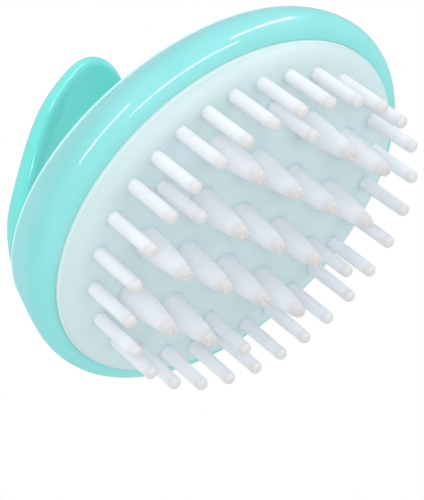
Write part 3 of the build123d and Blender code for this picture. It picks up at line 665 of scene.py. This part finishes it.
plain = {
    "white_plastic": Finish("inner_plastic", srgb(225, 228, 230), srgb(215, 220, 222), cloud=90,
                            rough=(0.35, 0.5), grain=1600, bump=0.1),
    "seal": Finish("seal_rubber", srgb(62, 66, 70), srgb(48, 52, 56), cloud=150, rough=(0.6, 0.8),
                   grain=2600, bump=0.25),
    "screw_steel": Finish("screw_steel", srgb(190, 192, 195), srgb(160, 163, 168), cloud=400,
                          rough=(0.22, 0.4), grain=5000, bump=0.15, Metallic=1.0),
    "contact_steel": Finish("contact_nickel", srgb(205, 200, 190), srgb(180, 175, 165), cloud=300,
                            rough=(0.15, 0.3), grain=4000, bump=0.1, Metallic=1.0),
    "motor_steel": Finish("motor_steel", srgb(175, 178, 182), srgb(150, 154, 160), cloud=250,
                          rough=(0.25, 0.42), grain=3500, bump=0.15, Metallic=1.0),
    "weight_brass": Finish("weight_brass", srgb(196, 160, 92), srgb(170, 132, 70), cloud=260,
                           rough=(0.25, 0.45), grain=3000, bump=0.2, Metallic=1.0),
    "battery_jacket": Finish("battery_jacket", srgb(70, 96, 150), srgb(58, 82, 132), cloud=80,
                             rough=(0.25, 0.4), grain=1500, bump=0.05, Coat_Weight=0.3),
    "board": Finish("board_mask", srgb(36, 112, 70), srgb(28, 92, 56), cloud=500, rough=(0.3, 0.5),
                    grain=3000, bump=0.15),
    "switch_black": Finish("switch_black", srgb(40, 41, 43), srgb(30, 31, 33), cloud=200,
                           rough=(0.4, 0.6), grain=2500, bump=0.15),
    "lead_red": Finish("lead_red", srgb(178, 38, 34), srgb(150, 28, 26), cloud=300, rough=(0.35, 0.5),
                       grain=2500, bump=0.1),
    "aqua_shell": aqua, "aqua_handle": aqua_handle, "pad": pad_finish, "bristle": bristle,
    "button_white": button_finish,
}
jacket = plain["battery_jacket"]
jacket.tint(jacket.ramp(jacket.noise(20.0, 0.0), 0.55, 0.6), srgb(200, 202, 205), 0.5)

for node in frame["record"]["subparts"]:
    holder = frame["nodes"][node["node"]]
    finish = plain[node["material_slot"]]
    holder.data.materials.clear()
    holder.data.materials.append(finish.material)

new_pieces = [
    (shell, shell_finish, "aqua_shell", "housing", "body"),
    (pad, pad_finish, "pad", "bristle_pad", "body"),
    (pins, bristle, "bristle", "thin_pins", "body"),
    (cones, bristle, "bristle", "massage_cones", "body"),
    (handle, aqua_handle, "aqua_handle", "handle", "body"),
    (cover, aqua, "aqua_shell", "back_cover", "body"),
    (door_plate, aqua, "aqua_shell", "battery_door", "door"),
    (bezel, button_finish, "button_white", "button_bezel", "body"),
    (button, button_finish, "button_white", "push_button", "button"),
]
for piece, finish, slot, node, body in new_pieces:
    piece.data.materials.clear()
    piece.data.materials.append(finish.material)
    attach(piece, body)
    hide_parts(node)

# ---------------------------------------------------------------- floor, light and camera

scene = bpy.context.scene
low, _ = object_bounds()

FLOOR_REACH, FLOOR_DROP = 3, 0.0005
floor_corners = [(-1, -1), (1, -1), (1, 1), (-1, 1)]
floor_mesh = bpy.data.meshes.new("floor")
floor_mesh.from_pydata([(x * FLOOR_REACH, y * FLOOR_REACH, 0) for x, y in floor_corners], [], [(0, 1, 2, 3)])
floor = bpy.data.objects.new("floor", floor_mesh)
floor.location = (0, 0, low.z - FLOOR_DROP)
scene.collection.objects.link(floor)
floor_material = bpy.data.materials.new("floor_pale")
floor_material.use_nodes = True
floor_nodes, floor_links = floor_material.node_tree.nodes, floor_material.node_tree.links
floor_shader = floor_nodes["Principled BSDF"]
floor_shader.inputs["Base Color"].default_value = (0.9, 0.9, 0.9, 1)
floor_shader.inputs["Roughness"].default_value = 0.8
# seen from below the floor is clear, so that the camera can look up at the bristles
clear = floor_nodes.new("ShaderNodeBsdfTransparent")
side = floor_nodes.new("ShaderNodeNewGeometry")
one_way = floor_nodes.new("ShaderNodeMixShader")
floor_links.new(side.outputs["Backfacing"], one_way.inputs["Fac"])
floor_links.new(floor_shader.outputs["BSDF"], one_way.inputs[1])
floor_links.new(clear.outputs["BSDF"], one_way.inputs[2])
floor_links.new(one_way.outputs["Shader"], floor_nodes["Material Output"].inputs["Surface"])
floor_mesh.materials.append(floor_material)
floor.visible_shadow = False
floor.visible_diffuse = False
floor.visible_glossy = False
floor.visible_transmission = False

world = bpy.data.worlds.new("studio")
world.use_nodes = True
scene.world = world
sky, sky_links = world.node_tree.nodes, world.node_tree.links


def sky_mix(factor, first, second):
    """A colour mix in the world's tree; each input is a colour or another node's output."""
    made = sky.new("ShaderNodeMix")
    made.data_type = "RGBA"
    sky_links.new(factor, made.inputs["Factor"])
    for socket, value in (("A", first), ("B", second)):
        if isinstance(value, tuple):
            made.inputs[socket].default_value = value
        else:
            sky_links.new(value, made.inputs[socket])
    return made.outputs["Result"]


# the eye sees plain white, reflections see a pale aqua room
rays = sky.new("ShaderNodeLightPath")
lit = sky_mix(rays.outputs["Is Glossy Ray"], (0.935, 0.975, 0.94, 1), (0.44, 0.72, 0.76, 1))
seen = sky_mix(rays.outputs["Is Camera Ray"], lit, (1.0, 1.0, 1.0, 1))
sky_links.new(seen, sky["Background"].inputs["Color"])
scene.view_settings.view_transform = "Standard"
scene.view_settings.look = "None"

# the camera looks up at the bristles from the brush's -Y side, turned on its side
AZIMUTH, ELEVATION, ROLL, DISTANCE, LENS = -21.9, -40.0, -50.7, 0.3987, 115.2
target = Vector((-0.0061, 0.0146, 0.0265))
azimuth, elevation = math.radians(AZIMUTH), math.radians(ELEVATION)
back = Vector((math.sin(azimuth) * math.cos(elevation), -math.cos(azimuth) * math.cos(elevation),
               math.sin(elevation)))
level = Vector((-back.y, back.x, 0)).normalized()
upright = back.cross(level)
roll = math.radians(ROLL)
right = level * math.cos(roll) + upright * math.sin(roll)
up = back.cross(right)
camera_data = bpy.data.cameras.new("camera")
camera_data.sensor_width = 36
camera_data.lens = LENS
camera = bpy.data.objects.new("camera", camera_data)
camera_axes = Matrix((right, up, back)).transposed()
camera.matrix_world = Matrix.Translation(target + back * DISTANCE) @ camera_axes.to_4x4()
scene.collection.objects.link(camera)
scene.camera = camera


LAMP_DISTANCE = 0.9


def soft_light(name, direction, size, power, colour=(1, 1, 1)):
    """A square soft light that looks at the object from a direction and isn't mirrored in it."""
    data = bpy.data.lights.new(name, "AREA")
    data.shape = "RECTANGLE"
    data.size, data.size_y = size, size
    data.energy = power
    data.color = colour
    lamp = bpy.data.objects.new(name, data)
    direction = Vector(direction).normalized()
    lamp.location = target + direction * LAMP_DISTANCE
    lamp.rotation_mode = "QUATERNION"
    lamp.rotation_quaternion = direction.to_track_quat("Z", "Y")
    lamp.visible_camera = False
    lamp.visible_glossy = False
    scene.collection.objects.link(lamp)


def nose_reflection(x, height):
    """The direction that the bull nose mirrors to the camera from its -Y side, and the point there."""
    drop = (WIDEST_Z - height) / (WIDEST_Z - LIP_Z)
    out = (1 - drop ** NOSE_POWER) ** (1 / NOSE_POWER)
    half_length = BORE_A + (WIDEST_A - BORE_A) * out
    half_width = BORE_B + (WIDEST_B - BORE_B) * out
    y = -half_width * math.sqrt(1 - (x / half_length) ** 2)
    level_normal = Vector((x / half_length ** 2, y / half_width ** 2, 0)).normalized()
    normal = level_normal * (WIDEST_Z - LIP_Z) * out ** (NOSE_POWER - 1)
    normal.z = -(WIDEST_B - BORE_B) * drop ** (NOSE_POWER - 1)
    normal.normalize()
    to_eye = (camera.matrix_world.translation - Vector((x, y, height)) * MM).normalized()
    return normal * (2 * normal.dot(to_eye)) - to_eye, Vector((x, y, height)) * MM


def rim_reflection(fraction, turn=math.radians(48)):
    """The same for the inner side of the handle's rounded rim, on its -Y edge."""
    point, slope = bezier_at(parameter_at(fraction))
    outward = Vector((-slope[1], slope[0]))
    thick = HALF_THICK + ROOT_EXTRA * (1 - fraction) ** 2
    y = -(blade_half_width(fraction) + RIM - RIM_ROUND * (1 - math.cos(turn)))
    lift = -thick * math.sin(turn) - y * y / (2 * (ROOT_BEND + (TIP_BEND - ROOT_BEND) * fraction))
    place = Vector((point[0] + outward[0] * lift, y, point[1] + outward[1] * lift)) * MM
    normal = Vector((-outward[0] * math.sin(turn), -math.cos(turn), -outward[1] * math.sin(turn)))
    to_eye = (camera.matrix_world.translation - place).normalized()
    return normal * (2 * normal.dot(to_eye)) - to_eye, place


def streak_light(name, start_mirror, end_mirror, thickness, power):
    """A strip light that shows as a thin streak between two mirroring points."""
    first, first_point = start_mirror
    last, last_point = end_mirror
    start, end = first_point + first * LAMP_DISTANCE, last_point + last * LAMP_DISTANCE
    middle = (start + end) / 2
    facing = (middle - (first_point + last_point) / 2).normalized()
    along = (end - start).normalized()
    side_way = facing.cross(along).normalized()
    data = bpy.data.lights.new(name, "AREA")
    data.shape = "RECTANGLE"
    data.size, data.size_y = (end - start).length, thickness
    data.energy = power
    lamp = bpy.data.objects.new(name, data)
    frame_axes = Matrix((side_way.cross(facing), side_way, facing)).transposed()
    lamp.matrix_world = Matrix.Translation(middle) @ frame_axes.to_4x4()
    lamp.visible_diffuse = False
    lamp.visible_camera = False
    scene.collection.objects.link(lamp)


soft_light("key", back * 0.5 + up * 0.8 + right * 0.5, 0.28, 1.15, (0.92, 0.95, 1.0))
soft_light("fill", back, 0.25, 1.75, (0.97, 0.98, 1.0))
soft_light("nose_key", (0.58, -0.12, -0.8), 0.24, 0.35, (0.77, 0.90, 1.0))
soft_light("overhead", (-0.35, 0.45, 1.0), 0.5, 2.6)
streak_light("streak_left", nose_reflection(-31.0, 23.5), nose_reflection(-15.0, 23.2), 0.08, 2.2)
streak_light("streak_right", nose_reflection(-16.0, 21.75), nose_reflection(14.5, 21.5), 0.06, 2.2)
streak_light("streak_handle", rim_reflection(0.45), rim_reflection(0.83), 0.06, 3.0)
